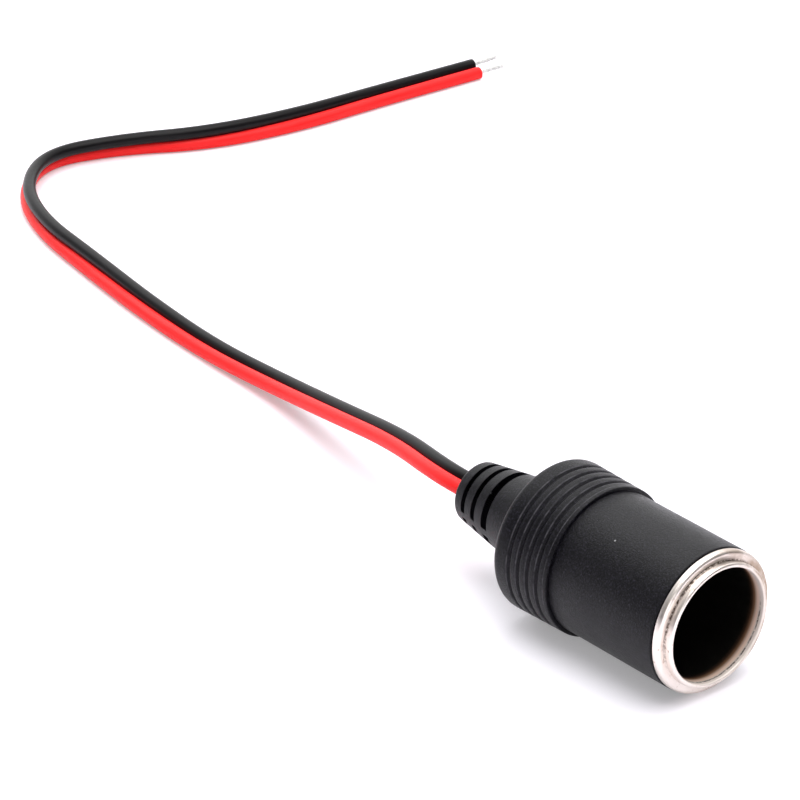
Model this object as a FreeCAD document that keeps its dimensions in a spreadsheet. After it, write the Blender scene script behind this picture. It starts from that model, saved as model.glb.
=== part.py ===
import FreeCAD, Part
import math
import os
import Sketcher

os.makedirs("parts", exist_ok=True)
doc = FreeCAD.newDocument("SocketLead")

# Sizes in millimetres.
# The standard bore of a car lighter socket sets the scale; the rest was measured against it.
SIZES = [
    ("bore_r", "10.5"),
    ("sleeve_wall", "0.5"),
    ("sleeve_depth", "35.2"),
    ("sleeve_corner_r", "4"),
    ("lip_step", "0.1"),
    ("lip_back", "2.7"),
    ("lip_thick", "1.3"),
    ("lip_round_r", "0.55"),
    ("bead_wall", "0.8"),
    ("bead_round_r", "0.38"),
    ("barrel_wall", "2.1"),
    ("barrel_edge_r", "0.35"),
    ("spigot_step", "0.8"),
    ("collar_step", "0.7"),
    ("collar_rise", "0.3"),
    ("collar_long", "13.5"),
    ("collar_lap", "1.6"),
    ("collar_front_round", "0.25"),
    ("collar_rear_round", "1.6"),
    ("groove_inset", "2.6"),
    ("groove_pitch", "2.24"),
    ("groove_half_width", "0.42"),
    ("groove_depth", "0.42"),
    ("rear_wall", "1.9"),
    ("neck_r", "8.5"),
    ("neck_wall", "1.6"),
    ("neck_root_round", "0.6"),
    ("relief_long", "19.1"),
    ("relief_wall", "1.7"),
    ("relief_end_round", "0.7"),
    ("slot_skin", "1.075"),
    ("slot_one_back", "10.3"),
    ("slot_one_width", "1.7"),
    ("slot_two_back", "6.5"),
    ("slot_two_width", "1.15"),
    ("slot_three_back", "3.5"),
    ("slot_three_width", "1.1"),
    ("slot_arc", "168"),
    ("slot_roll", "16"),
    ("tag_room", "4"),
    ("cavity_long", "9"),
    ("cavity_end_step", "0.5"),
    ("disc_gap", "0.1"),
    ("disc_thick", "1.5"),
    ("rivet_shank_r", "1.5"),
    ("rivet_head_lap", "2.5"),
    ("rivet_head_high", "1"),
    ("rivet_crown_inset", "1.6"),
    ("rivet_crown_high", "1.7"),
    ("rivet_tail_lap", "0.3"),
    ("rivet_tail_high", "0.8"),
    ("bush_wall", "1.5"),
    ("washer_lap", "2"),
    ("washer_thick", "1"),
    ("washer_gap", "0.5"),
    ("tag_thick", "0.5"),
    ("tag_wide", "2.4"),
    ("tag_ring_wall", "1.9"),
    ("tag_long", "10"),
    ("neg_pad_long", "1"),
    ("neg_arm_room", "4"),
    ("solder_long", "2.2"),
    ("solder_skin", "0.175"),
    ("solder_wide", "2"),
    ("lead_r", "1.35"),
    ("lead_pitch", "2.95"),
    ("lead_hole_gap", "0.03"),
    ("passage_gap", "0.02"),
    ("core_r", "0.55"),
    ("core_lap", "2.4"),
    ("lead_inset", "11"),
    ("lead_lean", "80"),
    ("bend_out", "9.2"),
    ("bare_long", "7"),
    ("mouth_x", "30.003"),
]
sheet = doc.addObject("Spreadsheet::Sheet", "Sizes")
for row, (alias, text) in enumerate(SIZES, start=1):
    sheet.set("A%d" % row, alias)
    sheet.set("B%d" % row, text)
    sheet.setAlias("B%d" % row, alias)
doc.recompute()


# Radii and places that follow from the sizes. A place is a distance behind the mouth plane, along the axis.
S = "Sizes."
DEPTH = S + "sleeve_depth"
SLEEVE_R = "(Sizes.bore_r + Sizes.sleeve_wall)"
BARREL_R = "(%s + Sizes.barrel_wall)" % SLEEVE_R
LIP_R = "(%s - Sizes.lip_step)" % BARREL_R
LIP_FRONT = "(Sizes.lip_back - Sizes.lip_thick)"
BEAD_R = "(Sizes.bore_r + Sizes.bead_wall)"
SPIGOT_R = "(%s - Sizes.spigot_step)" % BARREL_R
COLLAR_FRONT_R = "(%s + Sizes.collar_step)" % BARREL_R
COLLAR_REAR_R = "(%s + Sizes.collar_rise)" % COLLAR_FRONT_R
COLLAR_SLOPE = "(Sizes.collar_rise / Sizes.collar_long)"
BARREL_END = "(%s + Sizes.tag_room)" % DEPTH
COLLAR_REAR = "(%s + Sizes.rear_wall)" % BARREL_END
COLLAR_FRONT = "(%s - Sizes.collar_long)" % COLLAR_REAR
SPIGOT = "(%s + Sizes.collar_lap)" % COLLAR_FRONT
GROOVE = "(%s + Sizes.groove_inset)" % COLLAR_FRONT
CREST_R = "(%s + %s * Sizes.groove_inset)" % (COLLAR_FRONT_R, COLLAR_SLOPE)
RELIEF_END = "(%s + Sizes.relief_long)" % COLLAR_REAR
PAIR_R = "(Sizes.lead_pitch / 2 + Sizes.lead_r)"
SLOT_FLOOR_R = "(%s + Sizes.slot_skin)" % PAIR_R
RELIEF_END_R = "(%s + Sizes.relief_wall)" % SLOT_FLOOR_R
CAVITY_R = "(Sizes.neck_r - Sizes.neck_wall)"
CAVITY_END = "(%s + Sizes.cavity_long)" % BARREL_END
CAVITY_END_R = "(%s + Sizes.cavity_end_step)" % SLOT_FLOOR_R
FLOOR = "(%s - Sizes.sleeve_wall)" % DEPTH
DISC_R = "(Sizes.bore_r - Sizes.sleeve_corner_r - Sizes.disc_gap)"
BASE_HOLE_R = "(Sizes.rivet_shank_r + Sizes.bush_wall)"
WASHER_R = "(%s + Sizes.washer_lap)" % BASE_HOLE_R
WASHER_BACK = "(%s + Sizes.washer_thick)" % DEPTH
HEAD = "(%s - Sizes.disc_thick)" % FLOOR
HEAD_R = "(Sizes.rivet_shank_r + Sizes.rivet_head_lap)"
CROWN_R = "(%s - Sizes.rivet_crown_inset)" % HEAD_R
CLENCH = "(%s + Sizes.tag_thick)" % WASHER_BACK
CLENCH_R = "(Sizes.rivet_shank_r + Sizes.rivet_tail_lap)"
TAG_RING_R = "(Sizes.rivet_shank_r + Sizes.tag_ring_wall)"
TAG_END = "(%s + Sizes.tag_long)" % DEPTH
TAIL_IN = "(Sizes.lead_pitch / 2 + Sizes.core_r)"
RISER_IN = "(%s + Sizes.washer_gap)" % WASHER_R
RISER_OUT = "(%s + Sizes.tag_thick)" % RISER_IN
ARM = "(%s + Sizes.neg_arm_room)" % DEPTH
SOLDER_START = "(%s - Sizes.solder_long)" % TAG_END
SOLDER_IN = "(Sizes.lead_pitch / 2 - Sizes.core_r - Sizes.solder_skin)"
CORE_START = "(%s - Sizes.core_lap)" % TAG_END
LEAD_START = "(%s - Sizes.lead_inset)" % RELIEF_END


def size(words):
    return float(sheet.evalExpression(words))


# The socket lies on its side and rests on the mouth end of the barrel and on the front of the collar,
# so its axis rises a little towards the cable.
TOUCH_FRONT = "(Sizes.lip_back + Sizes.barrel_edge_r)"
TOUCH_REAR = "(%s + Sizes.collar_front_round)" % COLLAR_FRONT
TOUCH_REAR_R = "(%s + %s * Sizes.collar_front_round)" % (COLLAR_FRONT_R, COLLAR_SLOPE)
TILT = "asin((%s - %s) / (%s - %s))" % (TOUCH_REAR_R, BARREL_R, TOUCH_REAR, TOUCH_FRONT)
MOUTH_Z = "(%s * cos(%s) - %s * sin(%s))" % (BARREL_R, TILT, TOUCH_FRONT, TILT)


def lay_down(thing, roll="0"):
    thing.setExpression(
        "Placement",
        "placement(vector(Sizes.mouth_x; 0; %s); rotation(180; -%s; %s))" % (MOUTH_Z, TILT, roll))


def body(label):
    made = doc.addObject("PartDesign::Body", label)
    made.Label = label
    return made


def plane(owner, role):
    return next(f for f in owner.Origin.OriginFeatures if f.Role == role)


def sketch(owner, name, role):
    made = owner.newObject("Sketcher::SketchObject", name)
    made.AttachmentSupport = [(plane(owner, role), "")]
    made.MapMode = "FlatFace"
    return made


# A closed outline whose corners are tied to the sheet: each corner is (along, out) in sheet words.
def outline(made, corners):
    count = len(corners)
    first = made.GeometryCount
    numbers = []
    for along, out in corners:
        numbers.append(FreeCAD.Vector(made.evalExpression(along), made.evalExpression(out), 0))
    for i in range(count):
        made.addGeometry(Part.LineSegment(numbers[i], numbers[(i + 1) % count]), False)
    for i in range(count):
        made.addConstraint(Sketcher.Constraint("Coincident", first + i, 2, first + (i + 1) % count, 1))
    for i, (along, out) in enumerate(corners):
        for kind, words, value in (("DistanceX", along, numbers[i].x), ("DistanceY", out, numbers[i].y)):
            if abs(value) < 1e-9:
                other = -2 if kind == "DistanceX" else -1
                made.addConstraint(Sketcher.Constraint("PointOnObject", first + i, 1, other))
                continue
            index = made.addConstraint(Sketcher.Constraint(kind, -1, 1, first + i, 1, value))
            made.setExpression("Constraints[%d]" % index, words)


def circle(made, along, radius):
    centre = FreeCAD.Vector(made.evalExpression(along), 0, 0)
    index = made.addGeometry(Part.Circle(centre, FreeCAD.Vector(0, 0, 1), made.evalExpression(radius)), False)
    tie = made.addConstraint(Sketcher.Constraint("Radius", index, made.evalExpression(radius)))
    made.setExpression("Constraints[%d]" % tie, radius)
    tie = made.addConstraint(Sketcher.Constraint("DistanceX", -1, 1, index, 3, centre.x))
    made.setExpression("Constraints[%d]" % tie, along)
    made.addConstraint(Sketcher.Constraint("PointOnObject", index, 3, -1))


def turned(owner, name, corners):
    drawn = sketch(owner, name + "_outline", "XZ_Plane")
    outline(drawn, corners)
    made = owner.newObject("PartDesign::Revolution", name)
    made.Profile = drawn
    made.ReferenceAxis = (drawn, ["H_Axis"])
    made.Angle = 360
    doc.recompute()
    return made


def strip(owner, name, corners, width):
    drawn = sketch(owner, name + "_outline", "XZ_Plane")
    outline(drawn, corners)
    made = owner.newObject("PartDesign::Pad", name)
    made.Profile = drawn
    made.Midplane = True
    made.setExpression("Length", width)
    doc.recompute()
    return made


# Round edges of a turned body, found by the distance behind the mouth and the radius.
def ring_edges(feature, wanted):
    names = []
    for number, edge in enumerate(feature.Shape.Edges, start=1):
        curve = edge.Curve
        if not hasattr(curve, "Radius"):
            continue
        for along, radius in wanted:
            if abs(curve.Center.x - along) < 0.02 and abs(curve.Radius - radius) < 0.02:
                names.append("Edge%d" % number)
                break
    return names


def rounded(owner, name, feature, wanted, radius):
    edges = ring_edges(feature, wanted)
    if not edges:
        raise RuntimeError("no edge found for " + name)
    made = owner.newObject("PartDesign::Fillet", name)
    made.Base = (feature, edges)
    made.setExpression("Radius", radius)
    doc.recompute()
    return made


# Drawn metal cup: the outer contact. A flange covers the front of the barrel, with a rolled bead ahead of it.
contact_sleeve = body("contact_sleeve")
cup = turned(contact_sleeve, "cup", [
    (DEPTH, BASE_HOLE_R),
    (DEPTH, SLEEVE_R),
    (S + "lip_back", SLEEVE_R),
    (S + "lip_back", LIP_R),
    (LIP_FRONT, LIP_R),
    (LIP_FRONT, BEAD_R),
    ("0", BEAD_R),
    ("0", S + "bore_r"),
    (FLOOR, S + "bore_r"),
    (FLOOR, BASE_HOLE_R),
])
soft = rounded(contact_sleeve, "bead_rounds", cup,
               [(0, size(BEAD_R)), (0, size(S + "bore_r"))], S + "bead_round_r")
soft = rounded(contact_sleeve, "lip_edge", soft,
               [(size(LIP_FRONT), size(LIP_R))], S + "lip_round_r")
soft = rounded(contact_sleeve, "floor_round", soft,
               [(size(FLOOR), size(S + "bore_r"))], S + "sleeve_corner_r")
rounded(contact_sleeve, "floor_round_back", soft,
        [(size(DEPTH), size(SLEEVE_R))], "Sizes.sleeve_corner_r + Sizes.sleeve_wall")
lay_down(contact_sleeve)

# Moulded barrel: a tube over the cup, up against the flange, with a thinner rear spigot.
barrel_shell = body("barrel_shell")
tube = turned(barrel_shell, "tube", [
    (S + "lip_back", SLEEVE_R),
    (S + "lip_back", BARREL_R),
    (SPIGOT, BARREL_R),
    (SPIGOT, SPIGOT_R),
    (BARREL_END, SPIGOT_R),
    (BARREL_END, SLEEVE_R),
])
rounded(barrel_shell, "front_edge", tube,
        [(size(S + "lip_back"), size(BARREL_R))], S + "barrel_edge_r")
lay_down(barrel_shell)

# Moulded boot: ribbed collar, neck and slotted strain relief in one piece, hollow behind the cup.
ribbed_boot = body("ribbed_boot")
shell = turned(ribbed_boot, "shell", [
    (COLLAR_FRONT, BARREL_R),
    (COLLAR_FRONT, COLLAR_FRONT_R),
    (COLLAR_REAR, COLLAR_REAR_R),
    (COLLAR_REAR, S + "neck_r"),
    (RELIEF_END, RELIEF_END_R),
    (RELIEF_END, "0"),
    (CAVITY_END, "0"),
    (CAVITY_END, CAVITY_END_R),
    (BARREL_END, CAVITY_R),
    (BARREL_END, SPIGOT_R),
    (SPIGOT, SPIGOT_R),
    (SPIGOT, BARREL_R),
])
soft = rounded(ribbed_boot, "collar_front_edge", shell,
               [(size(COLLAR_FRONT), size(COLLAR_FRONT_R))], S + "collar_front_round")
soft = rounded(ribbed_boot, "collar_rear_edge", soft,
               [(size(COLLAR_REAR), size(COLLAR_REAR_R))], S + "collar_rear_round")
soft = rounded(ribbed_boot, "neck_root", soft,
               [(size(COLLAR_REAR), size(S + "neck_r"))], S + "neck_root_round")
rounded(ribbed_boot, "relief_edge", soft,
        [(size(RELIEF_END), size(RELIEF_END_R))], S + "relief_end_round")

# Grip grooves round the collar, cut as one V and repeated along the taper.
vee = sketch(ribbed_boot, "grip_outline", "XZ_Plane")
outline(vee, [
    (GROOVE + " - Sizes.groove_half_width", CREST_R + " + Sizes.groove_depth"),
    (GROOVE + " - Sizes.groove_half_width", CREST_R),
    (GROOVE, CREST_R + " - Sizes.groove_depth"),
    (GROOVE + " + Sizes.groove_half_width", CREST_R),
    (GROOVE + " + Sizes.groove_half_width", CREST_R + " + Sizes.groove_depth"),
])
grip = ribbed_boot.newObject("PartDesign::Groove", "grip_groove")
grip.Profile = vee
grip.ReferenceAxis = (vee, ["H_Axis"])
grip.Angle = 360
doc.recompute()
grips = ribbed_boot.newObject("PartDesign::LinearPattern", "grip_grooves")
grips.Originals = [grip]
grips.Direction = (vee, ["H_Axis"])
grips.setExpression("Length", "3 * Sizes.groove_pitch")
grips.Occurrences = 4
ribbed_boot.Tip = grips
doc.recompute()

# Strain relief slots: an arc above and an arc below, with a solid rib left at each side. The boot
# lies a little rolled, so one rib sits low on the near side and the other high on the far side.
window = sketch(ribbed_boot, "slot_outline", "XZ_Plane")
window.AttachmentOffset = FreeCAD.Placement(
    FreeCAD.Vector(0, 0, 0), FreeCAD.Rotation(FreeCAD.Vector(1, 0, 0), -size(S + "slot_roll")))
for name in ("one", "two", "three"):
    near = "%s - Sizes.slot_%s_back" % (RELIEF_END, name)
    far = "%s + Sizes.slot_%s_width" % (near, name)
    outline(window, [
        (near, SLOT_FLOOR_R),
        (far, SLOT_FLOOR_R),
        (far, S + "neck_r"),
        (near, S + "neck_r"),
    ])
slot = ribbed_boot.newObject("PartDesign::Groove", "slots_above")
slot.Profile = window
slot.ReferenceAxis = (window, ["H_Axis"])
slot.Midplane = True
slot.setExpression("Angle", S + "slot_arc")
doc.recompute()
slots = ribbed_boot.newObject("PartDesign::PolarPattern", "slots_both")
slots.Originals = [slot]
slots.Axis = (window, ["H_Axis"])
slots.Angle = 360
slots.Occurrences = 2
ribbed_boot.Tip = slots
doc.recompute()

# Two passages for the leads, side by side and leaning with the pair.
passage = sketch(ribbed_boot, "passage_outline", "YZ_Plane")
passage.AttachmentOffset = FreeCAD.Placement(
    FreeCAD.Vector(0, 0, 0), FreeCAD.Rotation(FreeCAD.Vector(0, 0, 1), size(S + "lead_lean") - 90))
circle(passage, "Sizes.lead_pitch / 2", "Sizes.lead_r + Sizes.passage_gap")
bore = ribbed_boot.newObject("PartDesign::Pocket", "passage")
bore.Profile = passage
bore.Type = "ThroughAll"
bore.Reversed = True
doc.recompute()
bores = ribbed_boot.newObject("PartDesign::PolarPattern", "passages")
bores.Originals = [bore]
bores.Axis = (window, ["H_Axis"])
bores.Angle = 360
bores.Occurrences = 2
ribbed_boot.Tip = bores
doc.recompute()
lay_down(ribbed_boot)

# Moulded insulator: a disc on the floor of the cup with a short bush through its hole.
base_insulator = body("base_insulator")
turned(base_insulator, "disc", [
    (FLOOR + " - Sizes.disc_thick", S + "rivet_shank_r"),
    (FLOOR + " - Sizes.disc_thick", DISC_R),
    (FLOOR, DISC_R),
    (FLOOR, BASE_HOLE_R),
    (DEPTH, BASE_HOLE_R),
    (DEPTH, S + "rivet_shank_r"),
])
lay_down(base_insulator)

# Fibre washer behind the cup.
insulating_washer = body("insulating_washer")
turned(insulating_washer, "washer", [
    (DEPTH, S + "rivet_shank_r"),
    (DEPTH, WASHER_R),
    (WASHER_BACK, WASHER_R),
    (WASHER_BACK, S + "rivet_shank_r"),
])
lay_down(insulating_washer)

# Centre contact: a rivet with a raised crown, clenched over the positive tag.
contact_rivet = body("contact_rivet")
turned(contact_rivet, "rivet", [
    (HEAD + " - Sizes.rivet_crown_high", "0"),
    (HEAD + " - Sizes.rivet_crown_high", CROWN_R),
    (HEAD + " - Sizes.rivet_head_high", HEAD_R),
    (HEAD, HEAD_R),
    (HEAD, S + "rivet_shank_r"),
    (CLENCH, S + "rivet_shank_r"),
    (CLENCH, CLENCH_R),
    (CLENCH + " + Sizes.rivet_tail_high", CLENCH_R),
    (CLENCH + " + Sizes.rivet_tail_high", "0"),
])
lay_down(contact_rivet)

# Positive tag: a stamped ring under the rivet with a tail along the red conductor.
positive_tag = body("positive_tag")
turned(positive_tag, "ring", [
    (WASHER_BACK, S + "rivet_shank_r"),
    (WASHER_BACK, TAG_RING_R),
    (CLENCH, TAG_RING_R),
    (CLENCH, S + "rivet_shank_r"),
])
strip(positive_tag, "tail", [
    (WASHER_BACK, TAIL_IN),
    (TAG_END, TAIL_IN),
    (TAG_END, TAIL_IN + " + Sizes.tag_thick"),
    (WASHER_BACK, TAIL_IN + " + Sizes.tag_thick"),
], S + "tag_wide")
lay_down(positive_tag, "Sizes.lead_lean - 180")

# Negative tag: a folded strip spot welded to the back of the cup, with a tail along the black conductor.
negative_tag = body("negative_tag")
strip(negative_tag, "folded_strip", [
    (DEPTH, RISER_OUT + " + Sizes.neg_pad_long"),
    (DEPTH, RISER_IN),
    (ARM, RISER_IN),
    (ARM, TAIL_IN),
    (TAG_END, TAIL_IN),
    (TAG_END, TAIL_IN + " + Sizes.tag_thick"),
    (ARM + " + Sizes.tag_thick", TAIL_IN + " + Sizes.tag_thick"),
    (ARM + " + Sizes.tag_thick", RISER_OUT),
    (DEPTH + " + Sizes.tag_thick", RISER_OUT),
    (DEPTH + " + Sizes.tag_thick", RISER_OUT + " + Sizes.neg_pad_long"),
], S + "tag_wide")
lay_down(negative_tag, S + "lead_lean")


# Solder: a small block that joins each conductor to its tag.
def solder(label, roll):
    owner = body(label)
    block = strip(owner, label + "_block", [
        (SOLDER_START, SOLDER_IN),
        (TAG_END, SOLDER_IN),
        (TAG_END, TAIL_IN),
        (SOLDER_START, TAIL_IN),
    ], S + "solder_wide")
    ring = sketch(owner, label + "_hole", "YZ_Plane")
    ring.AttachmentOffset = FreeCAD.Placement(
        FreeCAD.Vector(0, 0, 0), FreeCAD.Rotation(FreeCAD.Vector(0, 0, 1), 90))
    circle(ring, "Sizes.lead_pitch / 2", "Sizes.core_r + Sizes.passage_gap")
    hole = owner.newObject("PartDesign::Pocket", label + "_round_hole")
    hole.Profile = ring
    hole.Type = "ThroughAll"
    hole.Reversed = True
    doc.recompute()
    if hole.Shape.Volume >= block.Shape.Volume - 0.1:
        raise RuntimeError("no hole in " + label)
    lay_down(owner, roll)
    return owner


solder("positive_solder", "Sizes.lead_lean - 180")
solder("negative_solder", S + "lead_lean")
doc.recompute()

# Route of the pair from the socket: x, y, height of the middle of the pair, and its lean.
# The lean is the angle from upright of the line from red to black, to the right of the way along.
# A height of 0 means that the red lead lies on the floor. The first two points are on the axis.
ROUTE = [
    (-57.2, 5.4, 12.6, 80),
    (-79.7, 10.9, 7.6, 80),
    (-103.7, 16, 3, 78),
    (-126.2, 17.4, 0, 76),
    (-149.2, 19.8, 0, 62),
    (-172.2, 23.5, 0, 36),
    (-192.5, 26.9, 0, 10),
    (-209.5, 34.8, 0, 13),
    (-220.4, 48.5, 0, 30),
    (-215.6, 64.8, 0, 22),
    (-205.8, 81.1, 0, -8),
    (-201.6, 102.1, 0, -40),
    (-200.3, 126, 0, -50),
    (-198, 151, 0, -50),
]

half_pitch = size("Sizes.lead_pitch / 2")
lead_r = size(S + "lead_r")
along = contact_sleeve.Placement.Rotation.multVec(FreeCAD.Vector(1, 0, 0))
mouth = contact_sleeve.Placement.Base


def on_axis(distance):
    return mouth + along * distance


start = on_axis(size(LEAD_START))
bend = on_axis(size(RELIEF_END + " + Sizes.bend_out"))
lean_out = size(S + "lead_lean")
middle = [(start.x, start.y, start.z, lean_out), (bend.x, bend.y, bend.z, lean_out)] + ROUTE


# Corner points of one lead: side is 1 for the black lead and -1 for the red one.
def lead_points(side):
    points = []
    for i, (x, y, z, lean) in enumerate(middle):
        before = middle[max(i - 1, 0)]
        after = middle[min(i + 1, len(middle) - 1)]
        way = FreeCAD.Vector(after[0] - before[0], after[1] - before[1], 0)
        if i <= 1:
            way = FreeCAD.Vector(along.x, along.y, 0)
        way.normalize()
        right = FreeCAD.Vector(way.y, -way.x, 0)
        sine = math.sin(math.radians(lean))
        cosine = math.cos(math.radians(lean))
        height = z if z > 0 else lead_r + half_pitch * cosine
        shift = right * (side * half_pitch * sine)
        points.append(FreeCAD.Vector(x, y, height + side * half_pitch * cosine) + shift)
    return points


# A path of straight runs joined by tangent arcs, with the longest arc that each pair of runs allows.
def lead_edges(points, name):
    edges = []
    radii = []
    here = points[0]
    for i in range(1, len(points) - 1):
        into = points[i] - points[i - 1]
        away = points[i + 1] - points[i]
        half_turn = into.getAngle(away) / 2
        reach = 0.45 * min(into.Length, away.Length)
        radius = reach / math.tan(half_turn)
        into.normalize()
        away.normalize()
        enter = points[i] - into * reach
        leave = points[i] + away * reach
        inward = away - into
        inward.normalize()
        centre = points[i] + inward * (radius / math.cos(half_turn))
        crown = centre - inward * radius
        edges.append(Part.LineSegment(here, enter).toShape())
        edges.append(Part.Arc(enter, crown, leave).toShape())
        radii.append(round(radius, 1))
        here = leave
    edges.append(Part.LineSegment(here, points[-1]).toShape())
    print(name, "radii", radii)
    return edges


def swept(edges, radius):
    path = Part.Wire(edges)
    first = edges[0]
    begin = first.Vertexes[0].Point
    heading = first.tangentAt(first.FirstParameter)
    ring = Part.Wire([Part.Circle(begin, heading, radius).toShape()])
    made = path.makePipeShell([ring], True, False)
    if made.Volume < 0:
        made.reverse()
    wanted = math.pi * radius * radius * path.Length
    if abs(made.Volume - wanted) > 0.01 * wanted:
        raise RuntimeError("tube volume is wrong")
    return made


for colour, side in (("red", -1), ("black", 1)):
    points = lead_points(side)
    edges = lead_edges(points, colour)
    length = Part.Wire(edges).Length
    heading = points[0] - points[1]
    heading.normalize()
    inner_end = points[0] + heading * (size(LEAD_START) - size(CORE_START))
    out = points[-1] - points[-2]
    out.normalize()
    bare_tip = points[-1] + out * size(S + "bare_long")
    core_edges = [Part.LineSegment(inner_end, points[0]).toShape()] + edges
    core_edges.append(Part.LineSegment(points[-1], bare_tip).toShape())
    jacket = doc.addObject("Part::Feature", colour + "_insulation")
    jacket.Label = colour + "_insulation"
    jacket.Shape = swept(edges, lead_r).cut(swept(edges, size("Sizes.core_r + Sizes.lead_hole_gap")))
    jacket.Placement = FreeCAD.Placement()
    core = doc.addObject("Part::Feature", colour + "_conductor")
    core.Label = colour + "_conductor"
    core.Shape = swept(core_edges, size(S + "core_r"))
    core.Placement = FreeCAD.Placement()
    print(colour, "lead length", round(length, 1), "with bare end", round(length + size(S + "bare_long"), 1))
    print(colour, "lowest", round(jacket.Shape.BoundBox.ZMin, 4))
doc.recompute()

NODES = ["contact_sleeve", "barrel_shell", "ribbed_boot", "base_insulator", "insulating_washer",
         "contact_rivet", "positive_tag", "negative_tag", "positive_solder", "negative_solder",
         "red_insulation", "black_insulation", "red_conductor", "black_conductor"]
for thing in doc.Objects:
    if "Invalid" in thing.State or "Error" in thing.State:
        raise RuntimeError("%s is %s" % (thing.Name, thing.State))
for node in NODES:
    thing = doc.getObject(node)
    shape = thing.Shape
    if shape.isNull() or not shape.isValid():
        raise RuntimeError(node + " has no valid shape")
    box = shape.BoundBox
    print("%-18s volume %9.2f solids %d  x %.2f %.2f  y %.2f %.2f  z %.2f %.2f" % (
        node, shape.Volume, len(shape.Solids), box.XMin, box.XMax, box.YMin, box.YMax, box.ZMin, box.ZMax))
    shape.exportStep("parts/%s.step" % node)
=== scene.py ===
import math

import bpy
from mathutils import Matrix, Vector


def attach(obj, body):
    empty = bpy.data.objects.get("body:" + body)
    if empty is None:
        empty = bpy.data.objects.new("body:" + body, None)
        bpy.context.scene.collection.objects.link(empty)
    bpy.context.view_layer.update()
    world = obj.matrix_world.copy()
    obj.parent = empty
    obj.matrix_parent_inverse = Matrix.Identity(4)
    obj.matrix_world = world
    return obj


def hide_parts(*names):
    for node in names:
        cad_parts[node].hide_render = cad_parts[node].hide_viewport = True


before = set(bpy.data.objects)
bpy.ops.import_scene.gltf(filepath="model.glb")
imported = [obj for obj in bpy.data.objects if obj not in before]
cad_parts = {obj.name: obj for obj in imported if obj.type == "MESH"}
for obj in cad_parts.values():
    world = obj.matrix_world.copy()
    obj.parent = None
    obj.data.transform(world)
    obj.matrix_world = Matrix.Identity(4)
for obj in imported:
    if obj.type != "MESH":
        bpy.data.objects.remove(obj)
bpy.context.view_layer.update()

# Metal cup of the socket, the outer contact. It is drawn from plated sheet, with a flange over the front
# of the barrel and a rolled bead ahead of it. Lengths run back from the mouth along the axis.
MM = 0.001
mouth = Vector((30.003, 0, 13.0079)) * MM
tilt = math.radians(1.63028)
same_place = 1e-6
socket_turn = Matrix.Rotation(math.pi, 4, "Z") @ Matrix.Rotation(-tilt, 4, "Y")
socket_place = Matrix.Translation(mouth) @ socket_turn


def turned_piece(name, corners, rounds, steps):
    """A closed wall drawn corner by corner as (back, radius) in mm, and spun about the axis.

    Each round is a corner of the wall, its size in mm and its number of segments.
    """
    bpy.ops.object.select_all(action="DESELECT")
    bpy.ops.mesh.primitive_plane_add(size=MM)
    piece = bpy.context.object
    piece.name = name
    piece.data.name = name
    bpy.ops.object.mode_set(mode="EDIT")
    bpy.ops.mesh.select_all(action="SELECT")
    bpy.ops.mesh.merge(type="CENTER")
    bpy.ops.transform.translate(value=(corners[0][0] * MM, 0, corners[0][1] * MM))
    for (back_a, radius_a), (back_b, radius_b) in zip(corners, corners[1:]):
        step = ((back_b - back_a) * MM, 0, (radius_b - radius_a) * MM)
        bpy.ops.mesh.extrude_region_move(TRANSFORM_OT_translate={"value": step})
    bpy.ops.mesh.select_all(action="SELECT")
    bpy.ops.object.mode_set(mode="OBJECT")
    ends = [Vector((back, 0, radius)) * MM for back, radius in (corners[0], corners[-1])]
    for vertex in piece.data.vertices:
        vertex.select = min((vertex.co - end).length for end in ends) < same_place
    bpy.ops.object.mode_set(mode="EDIT")
    bpy.ops.mesh.edge_face_add()
    for (back, radius), size, parts in rounds:
        bpy.ops.mesh.select_all(action="DESELECT")
        bpy.ops.object.mode_set(mode="OBJECT")
        corner = Vector((back, 0, radius)) * MM
        for vertex in piece.data.vertices:
            vertex.select = (vertex.co - corner).length < same_place
        bpy.ops.object.mode_set(mode="EDIT")
        bpy.ops.mesh.bevel(offset=size * MM, segments=parts, affect="VERTICES")
    bpy.ops.mesh.select_all(action="SELECT")
    bpy.ops.mesh.spin(steps=steps, angle=math.tau, center=(0, 0, 0), axis=(1, 0, 0))
    bpy.ops.mesh.select_all(action="SELECT")
    bpy.ops.mesh.remove_doubles(threshold=2 * same_place)
    bpy.ops.mesh.normals_make_consistent(inside=False)
    bpy.ops.object.mode_set(mode="OBJECT")
    return piece


def seat_on_socket(piece):
    """Moves a turned piece to the socket's place on the table, and leaves its object at the origin."""
    bpy.ops.object.select_all(action="DESELECT")
    piece.select_set(True)
    bpy.context.view_layer.objects.active = piece
    piece.matrix_world = socket_place
    bpy.ops.object.transform_apply(location=True, rotation=True, scale=True)
    bpy.ops.object.shade_smooth_by_angle(angle=math.radians(38))
    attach(piece, "root")


def add_node(tree, kind, **values):
    """A shader node with its properties and socket values set by name."""
    node = tree.nodes.new(kind)
    for key, value in values.items():
        if key in node.inputs:
            node.inputs[key].default_value = value
        else:
            setattr(node, key, value)
    return node


def new_finish(name):
    """An empty material: its tree, its Principled shader and the object's own coordinates."""
    finish = bpy.data.materials.new(name)
    finish.use_nodes = True
    tree = finish.node_tree
    shader = tree.nodes["Principled BSDF"]
    place = add_node(tree, "ShaderNodeTexCoord")
    return finish, tree, shader, place


def along_socket(tree, place):
    """Object coordinates turned to the socket: X runs back from the mouth, in metres."""
    back_turn = socket_turn.to_3x3().transposed()
    shift = -(back_turn @ mouth)
    turn = add_node(tree, "ShaderNodeMapping", Location=shift, Rotation=back_turn.to_euler("XYZ"))
    tree.links.new(place.outputs["Object"], turn.inputs["Vector"])
    return turn


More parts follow.
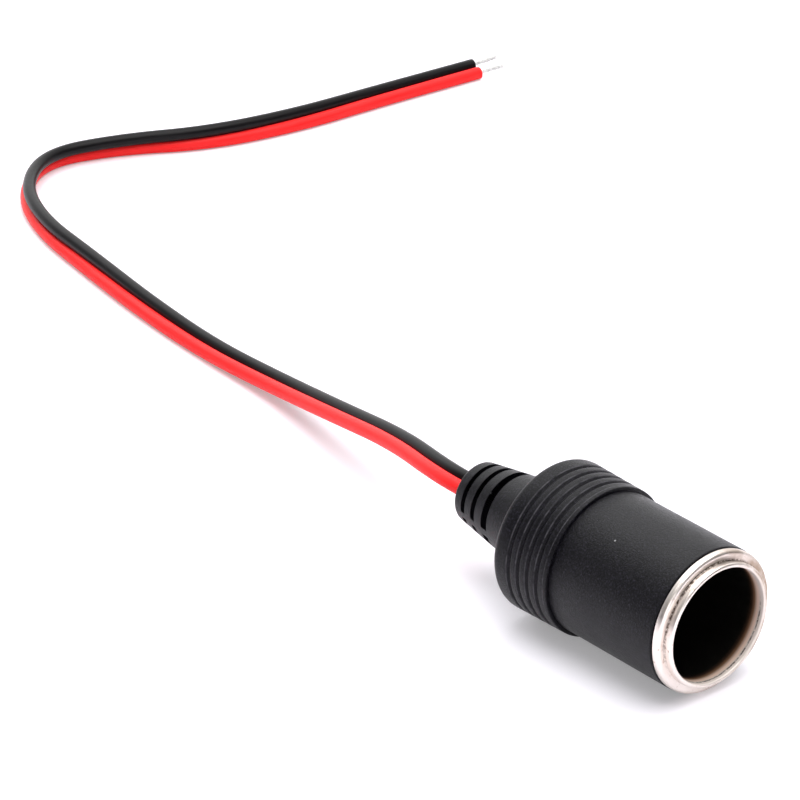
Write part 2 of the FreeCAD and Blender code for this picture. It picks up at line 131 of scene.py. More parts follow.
def between(tree, source, start, stop):
    """A ramp that rises from 0 at start to 1 at stop."""
    ramp = add_node(tree, "ShaderNodeMapRange")
    ramp.inputs["From Min"].default_value = start
    ramp.inputs["From Max"].default_value = stop
    tree.links.new(source, ramp.inputs["Value"])
    return ramp.outputs["Result"]


def product(tree, one, two):
    """Two values multiplied, for masks that have to hold together."""
    both = add_node(tree, "ShaderNodeMath", operation="MULTIPLY")
    tree.links.new(one, both.inputs[0])
    tree.links.new(two, both.inputs[1])
    return both.outputs["Value"]


def blended(tree, share, under, over):
    """One colour over another; each is a colour or the output that gives it."""
    colour_a, colour_b, colour_out = 6, 7, 2
    mix = add_node(tree, "ShaderNodeMix", data_type="RGBA")
    tree.links.new(share, mix.inputs["Factor"])
    for socket, colour in ((mix.inputs[colour_a], under), (mix.inputs[colour_b], over)):
        if isinstance(colour, tuple):
            socket.default_value = colour
        else:
            tree.links.new(colour, socket)
    return mix.outputs[colour_out]


sleeve_depth, sleeve_radius, bore_radius, floor_hole = 35.2, 11, 10.5, 3
sleeve_floor = 34.7
flange_front, flange_rear, flange_radius = 1.3, 2.7, 13
bead_rear, bead_radius = 1.5, 11.35
sleeve = turned_piece(
    "rolled_lip_sleeve",
    [(sleeve_depth, floor_hole), (sleeve_depth, sleeve_radius), (flange_rear, sleeve_radius),
     (flange_rear, flange_radius), (flange_front, flange_radius), (bead_rear, bead_radius), (0, bead_radius),
     (0, bore_radius), (sleeve_floor, bore_radius), (sleeve_floor, floor_hole)],
    [((sleeve_depth, sleeve_radius), 4.5, 8), ((flange_rear, flange_radius), 0.15, 3),
     ((flange_front, flange_radius), 0.8, 9), ((bead_rear, bead_radius), 0.12, 3),
     ((0, bead_radius), 0.41, 7), ((0, bore_radius), 0.41, 7), ((sleeve_floor, bore_radius), 4, 8)],
    steps=160)
seat_on_socket(sleeve)

# The dull nickel is patchy tarnish, laid only on the back side of the cup, so there it is also painted
# shade.
bright_nickel, dull_nickel_back_shade = (0.86, 0.785, 0.735, 1), (0.34, 0.26, 0.2, 1)
pitted_nickel = (0.42, 0.31, 0.24, 1)
# The crease colour is painted shade in the crease between the bead and the flange, broken by grime speckle;
# the scuff colour is grime on the bore wall.
crease_shade_and_grime, scuff_dirt = (0.085, 0.055, 0.04, 1), (0.05, 0.03, 0.02, 1)
# Painted shade in the bore: its colour runs from pale nickel at the mouth to near black deeper in, over the
# depth below.
bore_shade_tones = [(0.2, (0.98, 0.88, 0.81, 1)), (0.46, (0.9, 0.66, 0.53, 1)), (0.64, (0.22, 0.12, 0.07, 1)),
              (0.8, (0.04, 0.02, 0.012, 1)), (0.97, (0.003, 0.0025, 0.002, 1))]
bore_shade_depth = 3.6 * MM
plated, tree, shader, place = new_finish("worn_nickel_plate_painted_shade")
turn = along_socket(tree, place)
depth = add_node(tree, "ShaderNodeSeparateXYZ")
tree.links.new(turn.outputs["Vector"], depth.inputs["Vector"])
cloud = add_node(tree, "ShaderNodeTexNoise", Scale=900.0, Detail=6.0, Roughness=0.65)
tree.links.new(turn.outputs["Vector"], cloud.inputs["Vector"])
radius = add_node(tree, "ShaderNodeVectorMath", operation="LENGTH")
flat = add_node(tree, "ShaderNodeVectorMath", operation="MULTIPLY")
flat.inputs[1].default_value = (0, 1, 1)
tree.links.new(turn.outputs["Vector"], flat.inputs[0])
tree.links.new(flat.outputs["Vector"], radius.inputs[0])
bore_side = between(tree, radius.outputs["Value"], 10.95 * MM, 10.6 * MM)
# Painted shade: this ramp darkens the bore wall with depth from the mouth.
bore_depth_shade = add_node(tree, "ShaderNodeValToRGB")
fade = bore_depth_shade.color_ramp
fade.elements.remove(fade.elements[1])
fade.elements[0].position, fade.elements[0].color = bore_shade_tones[0]
for stop, tone in bore_shade_tones[1:]:
    fade.elements.new(stop).color = tone
tree.links.new(between(tree, depth.outputs["X"], 0.0, bore_shade_depth), bore_depth_shade.inputs["Fac"])
# Grime speckle, which breaks up both the grime in the bore and the painted crease shade.
grime_and_shade_noise = add_node(tree, "ShaderNodeTexNoise", Scale=1500.0, Detail=4.0, Roughness=0.75)
patch = add_node(tree, "ShaderNodeTexNoise", Scale=260.0, Detail=3.0)
for texture in (grime_and_shade_noise, patch):
    tree.links.new(turn.outputs["Vector"], texture.inputs["Vector"])
grime_and_shade_speckle = between(tree, grime_and_shade_noise.outputs["Fac"], 0.38, 0.56)
# Painted shade on the back side: the dull tarnish patches are kept to that side, so the rim is darker there.
back_side_shade = between(tree, depth.outputs["Y"], 6 * MM, -8 * MM)
back_shade_patches = product(tree, back_side_shade, between(tree, patch.outputs["Fac"], 0.25, 0.6))
plate = blended(tree, back_shade_patches, bright_nickel, dull_nickel_back_shade)
pits = between(tree, cloud.outputs["Fac"], 0.6, 0.72)
pitted_and_back_shaded = blended(tree, pits, plate, pitted_nickel)
# Painted shade in the crease between the bead and the flange, on the upper side, broken by grime speckle.
crease_shade = product(tree, between(tree, radius.outputs["Value"], 11.75 * MM, 11.4 * MM),
                 between(tree, depth.outputs["X"], 0.95 * MM, 1.3 * MM))
upper = between(tree, depth.outputs["Z"], -6 * MM, 3 * MM)
edged = blended(tree, product(tree, product(tree, crease_shade, upper), grime_and_shade_speckle), pitted_and_back_shaded, crease_shade_and_grime)
scuff = product(tree, between(tree, depth.outputs["X"], 0.7 * MM, 0.9 * MM),
                between(tree, depth.outputs["X"], 1.2 * MM, 0.95 * MM))
lower = between(tree, depth.outputs["Z"], 2 * MM, -2 * MM)
bore_shade_and_scuff = blended(tree, product(tree, product(tree, scuff, lower), grime_and_shade_speckle), bore_depth_shade.outputs["Color"],
                  scuff_dirt)
# The plate colour: outside, nickel with tarnish, pits and painted shade on the back side and in the crease;
# inside, the painted bore shade with grime.
tarnish_and_painted_shade = blended(tree, bore_side, edged, bore_shade_and_scuff)
tree.links.new(tarnish_and_painted_shade, shader.inputs["Base Color"])
shine = add_node(tree, "ShaderNodeMapRange")
shine.inputs["To Min"].default_value = 0.2
shine.inputs["To Max"].default_value = 0.5
tree.links.new(cloud.outputs["Fac"], shine.inputs["Value"])
tree.links.new(shine.outputs["Result"], shader.inputs["Roughness"])
metal = add_node(tree, "ShaderNodeMapRange")
metal.inputs["To Min"].default_value = 1.0
metal.inputs["To Max"].default_value = 0.2
tree.links.new(bore_side, metal.inputs["Value"])
tree.links.new(metal.outputs["Result"], shader.inputs["Metallic"])
grain = add_node(tree, "ShaderNodeBump", Strength=0.08, Distance=0.04 * MM)
tree.links.new(cloud.outputs["Fac"], grain.inputs["Height"])
tree.links.new(grain.outputs["Normal"], shader.inputs["Normal"])
sleeve.data.materials.append(plated)
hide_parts("contact_sleeve")

# Barrel: a black moulded tube over the metal cup, with the fine spark-eroded skin of its mould
# and a little pale dust on it. The boot covers its rear end.
barrel_front, barrel_radius = 2.95, 13.1
spigot_front, spigot_rear, spigot_radius = 29.2, 39.2, 12.3
barrel = turned_piece(
    "textured_barrel",
    [(barrel_front, sleeve_radius), (barrel_front, barrel_radius), (spigot_front, barrel_radius),
     (spigot_front, spigot_radius), (spigot_rear, spigot_radius), (spigot_rear, sleeve_radius)],
    [((barrel_front, barrel_radius), 0.3, 5)],
    steps=160)
seat_on_socket(barrel)

pore_black = (0.002, 0.0019, 0.003, 1)
skin_black = (0.034, 0.031, 0.046, 1)
dust_grey = (0.3, 0.3, 0.31, 1)


def moulded_black(name, scale, rough, depth_of_skin, shine):
    """Black moulded plastic: eroded skin, faint blotches and pale dust specks."""
    finish, tree, shader, place = new_finish(name)
    skin = add_node(tree, "ShaderNodeTexNoise", Scale=scale, Detail=4.0, Roughness=0.7)
    blotch = add_node(tree, "ShaderNodeTexNoise", Scale=140.0, Detail=3.0)
    dust = add_node(tree, "ShaderNodeTexVoronoi", Scale=330.0, Randomness=1.0)
    for texture in (skin, blotch, dust):
        tree.links.new(place.outputs["Object"], texture.inputs["Vector"])
    cell = add_node(tree, "ShaderNodeSeparateColor")
    tree.links.new(dust.outputs["Color"], cell.inputs["Color"])
    speck = product(tree, between(tree, dust.outputs["Distance"], 0.065, 0.035),
                    between(tree, cell.outputs["Red"], 0.8, 0.81))
    tone = blended(tree, between(tree, skin.outputs["Fac"], 0.5, 0.8), pore_black, skin_black)
    tree.links.new(blended(tree, speck, tone, dust_grey), shader.inputs["Base Color"])
    gloss = add_node(tree, "ShaderNodeMapRange")
    gloss.inputs["To Min"].default_value = rough - 0.08
    gloss.inputs["To Max"].default_value = rough + 0.08
    tree.links.new(blotch.outputs["Fac"], gloss.inputs["Value"])
    tree.links.new(gloss.outputs["Result"], shader.inputs["Roughness"])
    shader.inputs["Specular IOR Level"].default_value = shine
    grain = add_node(tree, "ShaderNodeBump", Strength=0.9, Distance=depth_of_skin)
    tree.links.new(skin.outputs["Fac"], grain.inputs["Height"])
    tree.links.new(grain.outputs["Normal"], shader.inputs["Normal"])
    return finish


barrel_black = moulded_black("eroded_black_plastic", 3400.0, rough=0.36, depth_of_skin=0.12 * MM, shine=0.19)
barrel.data.materials.append(barrel_black)
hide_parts("barrel_shell")

# Boot: one soft black moulding pushed over the rear of the barrel. It has a grooved collar for grip,
# a neck, and a tapered strain relief slotted above and below so that it can bend.
collar_front, collar_rear, relief_end = 27.6, 41.1, 60.2
collar_front_radius, collar_rear_radius = 13.8, 14.1
relief_root_radius, relief_tip_radius = 8.5, 5.6
hollow_end, hollow_end_radius, hollow_front_radius = 48.2, 4.4, 6.9
first_groove, groove_pitch, groove_count = 30.2, 2.24, 4
groove_ahead, groove_behind, groove_depth = 0.62, 0.5, 0.55
slots = [(49.9, 51.6), (53.7, 54.85), (56.7, 57.8)]
slot_floor, slot_inside = 3.9, 4.5
slot_roll, slot_half_arc = math.radians(16), math.radians(84)


def collar_radius(back):
    """The collar widens a little to the rear."""
    share = (back - collar_front) / (collar_rear - collar_front)
    return collar_front_radius + (collar_rear_radius - collar_front_radius) * share


def relief_radius(back):
    """The neck and the relief are one cone."""
    share = (back - collar_rear) / (relief_end - collar_rear)
    return relief_root_radius - (relief_root_radius - relief_tip_radius) * share


boot_line = [(spigot_front, barrel_radius), (collar_front, barrel_radius),
             (collar_front, collar_front_radius)]
boot_rounds = [((collar_front, collar_front_radius), 0.25, 4)]
for count in range(groove_count):
    groove = first_groove + count * groove_pitch
    crest = collar_radius(groove)
    front_edge = (groove - groove_ahead, crest)
    bottom = (groove, crest - groove_depth)
    rear_edge = (groove + groove_behind, crest)
    boot_line += [front_edge, bottom, rear_edge]
    boot_rounds += [(front_edge, 0.3, 4), (bottom, 0.12, 3), (rear_edge, 0.12, 3)]
boot_line += [(collar_rear, collar_rear_radius), (collar_rear, relief_root_radius)]
boot_rounds += [((collar_rear, collar_rear_radius), 1.6, 8), ((collar_rear, relief_root_radius), 0.6, 4)]
for near, far in slots:
    boot_line += [(near, relief_radius(near)), (far, relief_radius(far))]
boot_line += [(relief_end, relief_tip_radius), (relief_end, 0), (hollow_end, 0),
              (hollow_end, hollow_end_radius), (spigot_rear, hollow_front_radius),
              (spigot_rear, spigot_radius), (spigot_front, spigot_radius)]
boot_rounds.append(((relief_end, relief_tip_radius), 0.8, 6))
boot = turned_piece("ribbed_boot_moulding", boot_line, boot_rounds, steps=120)

# Pale grey for a painted highlight along the rear edge of each collar groove.
painted_ridge_highlight = (0.07, 0.067, 0.075, 1)
for near, far in slots:
    middle = (near + far) / 2 * MM
    wide = (far - near) / 2 * MM
    for face in boot.data.polygons:
        centre = face.center
        out = math.hypot(centre.y, centre.z)
        in_slot = abs(centre.x - middle) < wide and out > slot_inside * MM
        from_top = abs(centre.z * math.cos(slot_roll) + centre.y * math.sin(slot_roll))
        face.select = in_slot and from_top > out * math.cos(slot_half_arc)
    for edge in boot.data.edges:
        edge.select = False
    for vertex in boot.data.vertices:
        vertex.select = False
    bpy.ops.object.select_all(action="DESELECT")
    boot.select_set(True)
    bpy.context.view_layer.objects.active = boot
    bpy.ops.object.mode_set(mode="EDIT")
    bpy.ops.mesh.select_mode(type="FACE")
    shrink = slot_floor / relief_radius((near + far) / 2)
    bpy.ops.mesh.extrude_region_move(TRANSFORM_OT_translate={"value": (0, 0, 0)})
    bpy.ops.transform.resize(value=(1, shrink, shrink), center_override=(0, 0, 0))
    bpy.ops.mesh.select_all(action="DESELECT")
    bpy.ops.mesh.select_mode(type="VERT")
    bpy.ops.object.mode_set(mode="OBJECT")
seat_on_socket(boot)
rubber = moulded_black("soft_black_moulding", 3200.0, rough=0.35, depth_of_skin=0.1 * MM, shine=0.14)
tree = rubber.node_tree
turn = along_socket(tree, tree.nodes["Texture Coordinate"])
back = add_node(tree, "ShaderNodeSeparateXYZ")
tree.links.new(turn.outputs["Vector"], back.inputs["Vector"])
# Painted highlight: a pale line along the rear edge of each groove, up to the last ridge, broken up by
# noise.
ridge_start = ((first_groove + 0.32) * MM, (first_groove + 0.42) * MM)
ridge_stop = ((first_groove + 0.6) * MM, (first_groove + 0.48) * MM)
last_ridge = (38.5 * MM, 38 * MM)
from_groove = add_node(tree, "ShaderNodeMath", operation="WRAP")
wrap_top, wrap_bottom = 1, 2
from_groove.inputs[wrap_top].default_value = (first_groove + groove_pitch / 2) * MM
from_groove.inputs[wrap_bottom].default_value = (first_groove - groove_pitch / 2) * MM
tree.links.new(back.outputs["X"], from_groove.inputs[0])
edge = product(tree, between(tree, from_groove.outputs["Value"], *ridge_start),
               between(tree, from_groove.outputs["Value"], *ridge_stop))
edge = product(tree, edge, between(tree, back.outputs["X"], *last_ridge))
highlight_breakup = add_node(tree, "ShaderNodeTexNoise", Scale=500.0, Detail=4.0, Roughness=0.7)
tree.links.new(turn.outputs["Vector"], highlight_breakup.inputs["Vector"])
edge = product(tree, edge, between(tree, highlight_breakup.outputs["Fac"], 0.3, 0.6))
shader = tree.nodes["Principled BSDF"]
under = shader.inputs["Base Color"].links[0].from_socket
tree.links.new(blended(tree, edge, under, painted_ridge_highlight), shader.inputs["Base Color"])
boot.data.materials.append(rubber)
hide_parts("ribbed_boot")

# Inside the cup: a moulded insulator with the riveted centre contact, and behind it the fibre washer,
# the stamped tags and their solder. They show only deep in the bore.
mottle_shade = 0.75
for node, colour, metal, rough, grain_scale in (
        ("base_insulator", (0.012, 0.012, 0.013, 1), 0.0, 0.5, 1500.0),
        ("insulating_washer", (0.2, 0.07, 0.03, 1), 0.0, 0.7, 1800.0),
        ("contact_rivet", (0.3, 0.26, 0.23, 1), 1.0, 0.4, 900.0),
        ("positive_tag", (0.7, 0.66, 0.55, 1), 1.0, 0.35, 900.0),
        ("negative_tag", (0.7, 0.66, 0.55, 1), 1.0, 0.35, 900.0),
        ("positive_solder", (0.6, 0.6, 0.62, 1), 1.0, 0.3, 700.0),
        ("negative_solder", (0.6, 0.6, 0.62, 1), 1.0, 0.3, 700.0)):
    finish, tree, shader, place = new_finish(node + "_finish")
    mottle = add_node(tree, "ShaderNodeTexNoise", Scale=grain_scale, Detail=4.0)
    tree.links.new(place.outputs["Object"], mottle.inputs["Vector"])
    shade = add_node(tree, "ShaderNodeValToRGB")
    shade.color_ramp.elements[0].position = 0.3
    shade.color_ramp.elements[0].color = tuple(mottle_shade * channel for channel in colour[:3]) + (1,)
    shade.color_ramp.elements[1].position = 0.7
    shade.color_ramp.elements[1].color = colour
    tree.links.new(mottle.outputs["Fac"], shade.inputs["Fac"])
    tree.links.new(shade.outputs["Color"], shader.inputs["Base Color"])
    shader.inputs["Metallic"].default_value = metal
    shader.inputs["Roughness"].default_value = rough
    bump = add_node(tree, "ShaderNodeBump", Strength=0.15, Distance=0.03 * MM)
    tree.links.new(mottle.outputs["Fac"], bump.inputs["Height"])
    tree.links.new(bump.outputs["Normal"], shader.inputs["Normal"])
    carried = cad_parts[node]
    carried.data.materials.clear()
    carried.data.materials.append(finish)

# Twin lead: two stranded wires with extruded red and black jackets, joined by a thin web.
# It leaves the strain relief along the axis, sinks to the table and lies there, twisting on a slow bend.
# Route points are the middle of the pair in mm, with its lean from upright; height 0 lies on the table.
lead_radius, lead_pitch = 1.35, 2.66
route = [
    (-19.18, 0, 14.408, 80),
    (-30.17, 0, 14.721, 80),
    (-39.37, 0, 14.982, 80),
    (-57.2, 5.4, 12.6, 80),
    (-79.7, 10.9, 7.6, 80),
    (-103.7, 16, 3, 78),
    (-126.2, 17.4, 0, 76),
    (-149.2, 19.8, 0, 62),
    (-172.2, 23.5, 0, 36),
    (-192.5, 26.9, 0, 10),
    (-209.5, 34.8, 0, 13),
    (-220.4, 48.5, 0, 30),
    (-215.6, 64.8, 0, 22),
    (-205.8, 81.1, 0, -8),
    (-201.6, 102.1, 0, -40),
    (-200.9, 125.8, 0, -62),
    (-198.8, 151.2, 0, -66),
]


def lead_line(name, side):
    """Points along one lead, in metres, read from a NURBS curve beside the route."""
    controls = []
    for i, (x, y, height, lean) in enumerate(route):
        before = route[max(i - 1, 0)]
        after = route[min(i + 1, len(route) - 1)]
        way = Vector((after[0] - before[0], after[1] - before[1], 0)).normalized()
        right = Vector((way.y, -way.x, 0))
        sine, cosine = math.sin(math.radians(lean)), math.cos(math.radians(lean))
        middle = height if height > 0 else lead_radius + lead_pitch / 2 * cosine
        offset = side * lead_pitch / 2
        controls.append((Vector((x, y, middle + offset * cosine)) + right * (offset * sine)) * MM)
    curve = bpy.data.curves.new(name, "CURVE")
    curve.dimensions = "3D"
    curve.resolution_u = 16
    spline = curve.splines.new("NURBS")
    spline.points.add(len(controls) - 1)
    for point, place in zip(spline.points, controls):
        point.co = (place.x, place.y, place.z, 1)
    spline.order_u = 3
    spline.use_endpoint_u = True
    holder = bpy.data.objects.new(name, curve)
    bpy.context.scene.collection.objects.link(holder)
    line = bpy.data.meshes.new_from_object(holder)
    points = [vertex.co.copy() for vertex in line.vertices]
    bpy.data.meshes.remove(line)
    bpy.data.objects.remove(holder)
    bpy.data.curves.remove(curve)
    return points


red_line = lead_line("red_line", -1)
black_line = lead_line("black_line", 1)


def headings(line):
    """The direction of a line at each of its points."""
    last = len(line) - 1
    return [(line[min(i + 1, last)] - line[max(i - 1, 0)]).normalized() for i in range(last + 1)]


def skinned(name, points, faces, smooth_degrees, uvs=()):
    """A piece made of points and faces, with any UV corners, smooth where it turns less than the angle."""
    mesh = bpy.data.meshes.new(name)
    mesh.from_pydata(points, [], faces)
    if uvs:
        layer = mesh.uv_layers.new(name="along_lead")
        corners = [corner for face_corners in uvs for corner in face_corners]
        for loop, corner in zip(layer.data, corners):
            loop.uv = corner
    piece = bpy.data.objects.new(name, mesh)
    bpy.context.scene.collection.objects.link(piece)
    bpy.ops.object.select_all(action="DESELECT")
    piece.select_set(True)
    bpy.context.view_layer.objects.active = piece
    bpy.ops.object.mode_set(mode="EDIT")
    bpy.ops.mesh.select_all(action="SELECT")
    bpy.ops.mesh.normals_make_consistent(inside=False)
    bpy.ops.object.mode_set(mode="OBJECT")
    bpy.ops.object.shade_smooth_by_angle(angle=math.radians(smooth_degrees))
    return piece


def jacket(name, line, other):
    """A round jacket along its line, drawn out to half of the web on the side of the other lead."""
    sides = 36
    web_half, web_overlap = 0.5 * MM, 0.01 * MM
    radius = lead_radius * MM
    points, faces, uvs = [], [], []
    travelled = 0.0
    travel = []
    for i, (centre, way) in enumerate(zip(line, headings(line))):
        if i:
            travelled += (centre - line[i - 1]).length
        travel.append(travelled)
        across = other[i] - centre
        across = across - way * across.dot(way)
        reach = across.length / 2
        across.normalize()
        up = way.cross(across)
        for spoke in range(sides):
            turn = math.tau * spoke / sides
            outward, upward = radius * math.cos(turn), radius * math.sin(turn)
            if outward > 0 and abs(upward) < web_half:
                outward = max(outward, reach + web_overlap)
            points.append(centre + across * outward + up * upward)
    last = len(line) - 1
    for i in range(last):
        here, beyond = i * sides, (i + 1) * sides
        for spoke in range(sides):
            beside = (spoke + 1) % sides
            faces.append((here + spoke, here + beside, beyond + beside, beyond + spoke))
            uvs.append(((travel[i], spoke / sides), (travel[i], (spoke + 1) / sides),
                        (travel[i + 1], (spoke + 1) / sides), (travel[i + 1], spoke / sides)))
    faces.append(tuple(reversed(range(sides))))
    uvs.append(tuple((0.0, spoke / sides) for spoke in reversed(range(sides))))
    faces.append(tuple(last * sides + spoke for spoke in range(sides)))
    uvs.append(tuple((travelled, spoke / sides) for spoke in range(sides)))
    return skinned(name, points, faces, 40, uvs), travelled


red_jacket, red_long = jacket("red_jacket", red_line, black_line)
black_jacket, black_long = jacket("black_jacket", black_line, red_line)


def extruded_plastic(name, low, high, rough, shine):
    """Satin extruded plastic: faint streaks along the lead and a soft uneven gloss."""
    finish, tree, shader, place = new_finish(name)
    stretch = add_node(tree, "ShaderNodeMapping", Scale=(90.0, 14.0, 1.0))
    tree.links.new(place.outputs["UV"], stretch.inputs["Vector"])
    streak = add_node(tree, "ShaderNodeTexNoise", Scale=1.0, Detail=4.0)
    tree.links.new(stretch.outputs["Vector"], streak.inputs["Vector"])
    fine = add_node(tree, "ShaderNodeTexNoise", Scale=1400.0, Detail=3.0)
    tree.links.new(place.outputs["Object"], fine.inputs["Vector"])
    tone = add_node(tree, "ShaderNodeValToRGB")
    tone.color_ramp.elements[0].position = 0.3
    tone.color_ramp.elements[0].color = low
    tone.color_ramp.elements[1].position = 0.7
    tone.color_ramp.elements[1].color = high
    tree.links.new(streak.outputs["Fac"], tone.inputs["Fac"])
    tree.links.new(tone.outputs["Color"], shader.inputs["Base Color"])
    gloss = add_node(tree, "ShaderNodeMapRange")
    gloss.inputs["To Min"].default_value = rough - 0.06
    gloss.inputs["To Max"].default_value = rough + 0.1
    tree.links.new(fine.outputs["Fac"], gloss.inputs["Value"])
    tree.links.new(gloss.outputs["Result"], shader.inputs["Roughness"])
    shader.inputs["Specular IOR Level"].default_value = shine
    grain = add_node(tree, "ShaderNodeBump", Strength=0.12, Distance=0.03 * MM)
    tree.links.new(fine.outputs["Fac"], grain.inputs["Height"])
    tree.links.new(grain.outputs["Normal"], shader.inputs["Normal"])
    return finish


deep_red, bright_red = (0.96, 0.016, 0.017, 1), (1.0, 0.03, 0.03, 1)
deep_black, soft_black = (0.002, 0.0018, 0.0022, 1), (0.007, 0.006, 0.007, 1)
red_plastic = extruded_plastic("red_jacket_plastic", deep_red, bright_red, rough=0.4, shine=0.15)
black_plastic = extruded_plastic("black_jacket_plastic", deep_black, soft_black, rough=0.34, shine=0.16)
red_jacket.data.materials.append(red_plastic)
black_jacket.data.materials.append(black_plastic)
for piece, node, finish_slot in ((red_jacket, "red_insulation", "red_jacket"),
                                 (black_jacket, "black_insulation", "black_jacket")):
    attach(piece, "root")
    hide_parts(node)

# Bare ends: the tinned copper strands of each wire, twisted together and cut square,
# standing out of the cut jackets. Each ring of strands is its share of the bundle, a count and a turn.
strand_radius, bundle_radius = 0.11 * MM, 0.28 * MM
strand_rings = [(0.0, 1, 0.0), (0.5, 5, 0.3), (1.0, 11, 0.0)]
bare_long, inside_jacket = 6.4, 1.5
strand_twist, splay, uneven_splay, uneven_length = 0.3, 0.16, 0.7, 0.22
strand_step, ring_step = 2.3, 5


def bare_end(name, line, spread):
    """The strands of one wire, opening a little to their tips and drifting off along spread."""
    start = line[-1]
    way = (line[-1] - line[-2]).normalized()
    side = way.cross(Vector((0, 0, 1))).normalized()
    up = side.cross(way).normalized()
    steps, sides = 26, 8
    strands = []
    for share, count, phase in strand_rings:
        for number in range(count):
            wave = math.sin(strand_step * number + ring_step * share)
            strand = []
            for i in range(steps + 1):
                along = i / steps
                turn = math.tau * (number / count + strand_twist * along) + phase
                open_up = 1 + splay * along * along * (1 + uneven_splay * wave)
                walk = (bare_long + inside_jacket + uneven_length * wave * along) * along - inside_jacket
                rise = (side * math.cos(turn) + up * math.sin(turn)) * (bundle_radius * share * open_up)
                drift = spread * (along * along * bare_long * MM)
                strand.append(start + way * (walk * MM) + drift + rise)
            strands.append(strand)
    points, faces = [], []
    for strand in strands:
        base = len(points)
        for centre, tangent in zip(strand, headings(strand)):
            across = tangent.cross(Vector((0, 0, 1))).normalized()
            over = tangent.cross(across)
            for spoke in range(sides):
                turn = math.tau * spoke / sides
                points.append(centre + (across * math.cos(turn) + over * math.sin(turn)) * strand_radius)
        for i in range(steps):
            here, beyond = base + i * sides, base + (i + 1) * sides
            for spoke in range(sides):
                beside = (spoke + 1) % sides
                faces.append((here + spoke, here + beside, beyond + beside, beyond + spoke))
        faces.append(tuple(base + spoke for spoke in reversed(range(sides))))
        faces.append(tuple(base + steps * sides + spoke for spoke in range(sides)))
    return skinned(name, points, faces, 50)


red_end = bare_end("red_bare_strands", red_line, Vector((0.02, 0, 0.02)))
black_end = bare_end("black_bare_strands", black_line, Vector((-0.02, 0, 0.05)))
tinned, tree, shader, place = new_finish("tinned_copper")
mottle = add_node(tree, "ShaderNodeTexNoise", Scale=1600.0, Detail=4.0)
tree.links.new(place.outputs["Object"], mottle.inputs["Vector"])
tin = add_node(tree, "ShaderNodeValToRGB")
tin.color_ramp.elements[0].position = 0.3
tin.color_ramp.elements[0].color = (0.56, 0.55, 0.54, 1)
tin.color_ramp.elements[1].position = 0.6
tin.color_ramp.elements[1].color = (0.82, 0.81, 0.8, 1)
tree.links.new(mottle.outputs["Fac"], tin.inputs["Fac"])
tree.links.new(tin.outputs["Color"], shader.inputs["Base Color"])
shader.inputs["Metallic"].default_value = 1.0
shader.inputs["Roughness"].default_value = 0.5
for piece, node in ((red_end, "red_conductor"), (black_end, "black_conductor")):
    piece.data.materials.append(tinned)
    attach(piece, "root")
    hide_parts(node)

# Table, light and camera: a white table top under soft overhead light in a dim room. A long lens sees
# the socket from about 29 degrees above the table.
table_white, table_glow = (0.8, 0.775, 0.835, 1), 0.26
ceiling_strength, back_wall_strength = (0.03, 0.55), 1.5
back_wall_way = (-0.754, 0.657, 0.0)
camera_place, camera_way = (0.48649, -0.46779, 0.37757), Vector((-0.67575, 0.58852, -0.44385))
bpy.ops.object.select_all(action="DESELECT")
bpy.ops.mesh.primitive_plane_add(size=6.0, location=(0, 0, -0.02 * MM))
table = bpy.context.object
table.name = "table_top"
white = bpy.data.materials.new("white_table")
white.use_nodes = True
tree = white.node_tree
tree.nodes.clear()
surface = add_node(tree, "ShaderNodeOutputMaterial")
plain = add_node(tree, "ShaderNodeBsdfDiffuse", Color=table_white)
glow = add_node(tree, "ShaderNodeEmission", Color=(1, 1, 1, 1), Strength=table_glow)
both = add_node(tree, "ShaderNodeAddShader")
tree.links.new(plain.outputs[0], both.inputs[0])
tree.links.new(glow.outputs[0], both.inputs[1])
rays = add_node(tree, "ShaderNodeLightPath")
seen = add_node(tree, "ShaderNodeMath", operation="MAXIMUM")
tree.links.new(rays.outputs["Is Camera Ray"], seen.inputs[0])
tree.links.new(rays.outputs["Is Glossy Ray"], seen.inputs[1])
seen_through = add_node(tree, "ShaderNodeMath", operation="MAXIMUM")
tree.links.new(seen.outputs[0], seen_through.inputs[0])
tree.links.new(rays.outputs["Is Transmission Ray"], seen_through.inputs[1])
choice = add_node(tree, "ShaderNodeMixShader")
tree.links.new(seen_through.outputs[0], choice.inputs["Fac"])
tree.links.new(plain.outputs[0], choice.inputs[1])
tree.links.new(both.outputs[0], choice.inputs[2])
tree.links.new(choice.outputs[0], surface.inputs["Surface"])
table.data.materials.append(white)

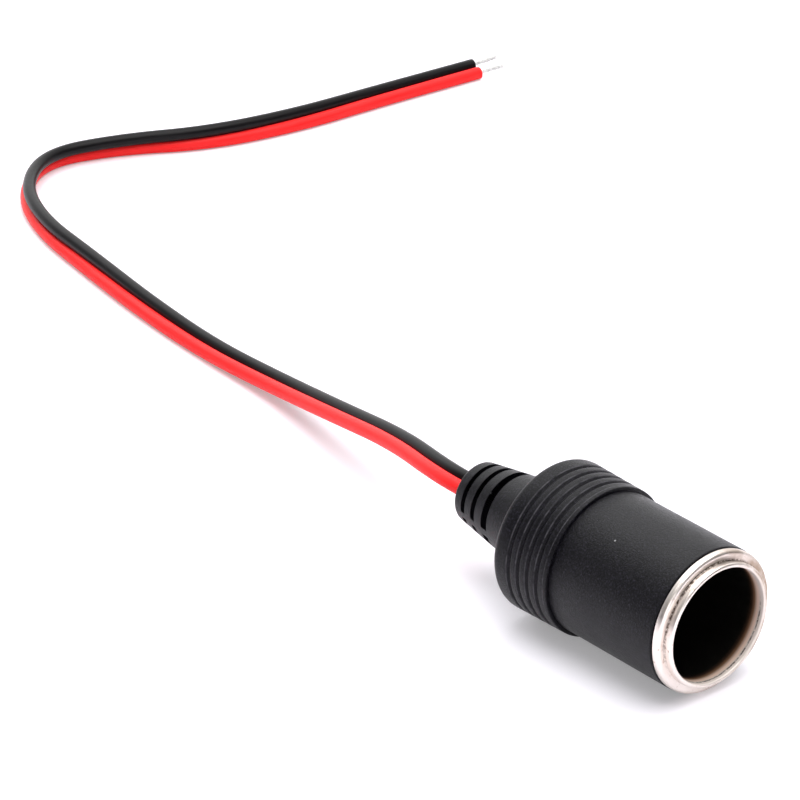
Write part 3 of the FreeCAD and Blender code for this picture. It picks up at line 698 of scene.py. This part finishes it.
room = bpy.data.worlds.new("studio_room")
bpy.context.scene.world = room
room.use_nodes = True
tree = room.node_tree
tree.nodes.clear()
out = add_node(tree, "ShaderNodeOutputWorld")
air = add_node(tree, "ShaderNodeBackground", Color=(1, 1, 1, 1))
sky = add_node(tree, "ShaderNodeTexCoord")
rise = add_node(tree, "ShaderNodeSeparateXYZ")
tree.links.new(sky.outputs["Generated"], rise.inputs["Vector"])
ceiling = add_node(tree, "ShaderNodeMapRange")
ceiling.inputs["From Min"].default_value = 0.1
ceiling.inputs["From Max"].default_value = 0.9
ceiling.inputs["To Min"].default_value = ceiling_strength[0]
ceiling.inputs["To Max"].default_value = ceiling_strength[1]
tree.links.new(rise.outputs["Z"], ceiling.inputs["Value"])
behind = add_node(tree, "ShaderNodeVectorMath", operation="DOT_PRODUCT")
behind.inputs[1].default_value = back_wall_way
tree.links.new(sky.outputs["Generated"], behind.inputs[0])
back_wall = add_node(tree, "ShaderNodeMapRange")
back_wall.inputs["From Min"].default_value = 0.1
back_wall.inputs["From Max"].default_value = 0.9
back_wall.inputs["To Max"].default_value = back_wall_strength
tree.links.new(behind.outputs["Value"], back_wall.inputs["Value"])
level = add_node(tree, "ShaderNodeMath", operation="ADD")
tree.links.new(ceiling.outputs["Result"], level.inputs[0])
tree.links.new(back_wall.outputs["Result"], level.inputs[1])
tree.links.new(level.outputs["Value"], air.inputs["Strength"])
tree.links.new(air.outputs[0], out.inputs["Surface"])

for name, place, aim, size, power in (
        ("overhead_softbox", (0.04, 0.06, 0.85), (-0.02, 0.03, 0.0), 0.9, 9.0),
        ("left_softbox", (-0.8, 0.1, 0.7), (-0.1, 0.05, 0.0), 0.6, 1.4),
        ("front_fill", (0.7, -0.5, 0.25), (0.03, 0.0, 0.013), 0.3, 1.2)):
    bpy.ops.object.light_add(type="AREA", location=place)
    lamp = bpy.context.object
    lamp.name = name
    lamp.data.shape = "SQUARE"
    lamp.data.size = size
    lamp.data.energy = power
    lamp.rotation_euler = (Vector(aim) - Vector(place)).to_track_quat("-Z", "Y").to_euler()

bpy.ops.object.camera_add(location=camera_place)
camera = bpy.context.object
camera.name = "photo_camera"
camera.rotation_euler = camera_way.to_track_quat("-Z", "Y").to_euler()
camera.data.sensor_width = 36.0
camera.data.lens = 202.5
camera.data.clip_start = 0.05
camera.data.dof.use_dof = False
bpy.context.scene.camera = camera
bpy.context.scene.view_settings.view_transform = "Standard"
